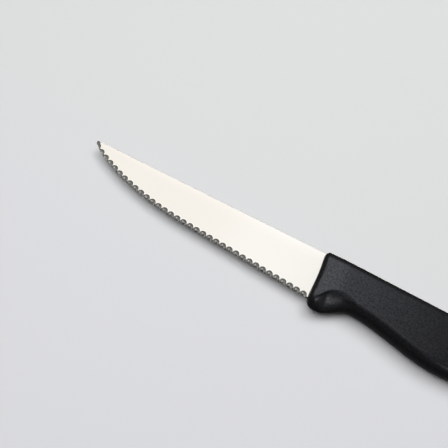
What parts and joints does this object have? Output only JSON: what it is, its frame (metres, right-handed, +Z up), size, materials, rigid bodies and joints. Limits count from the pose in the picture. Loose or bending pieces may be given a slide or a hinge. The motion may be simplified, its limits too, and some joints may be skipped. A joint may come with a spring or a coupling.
{
  "type": "serrated vegetable knife",
  "caption": "Small kitchen knife: stainless blade with a straight spine and a scalloped, curved edge, in a black moulded plastic handle with a finger guard and a waisted grip.",
  "frame": {"origin": "on the surface that the knife lies on, under the middle of its bounding box", "axes": "+X along the knife from the tip to the butt, +Y from the cutting edge towards the spine, +Z up through the flat of the handle"},
  "size_m": [0.2234, 0.0254, 0.0135],
  "materials": {
    "blade_steel": "fine polished stainless steel",
    "handle_plastic": "black polypropylene with a fine matte grain"
  },
  "bodies": {
    "root": {"blade": "blade_steel", "handle": "handle_plastic"}
  },
  "joints": []
}
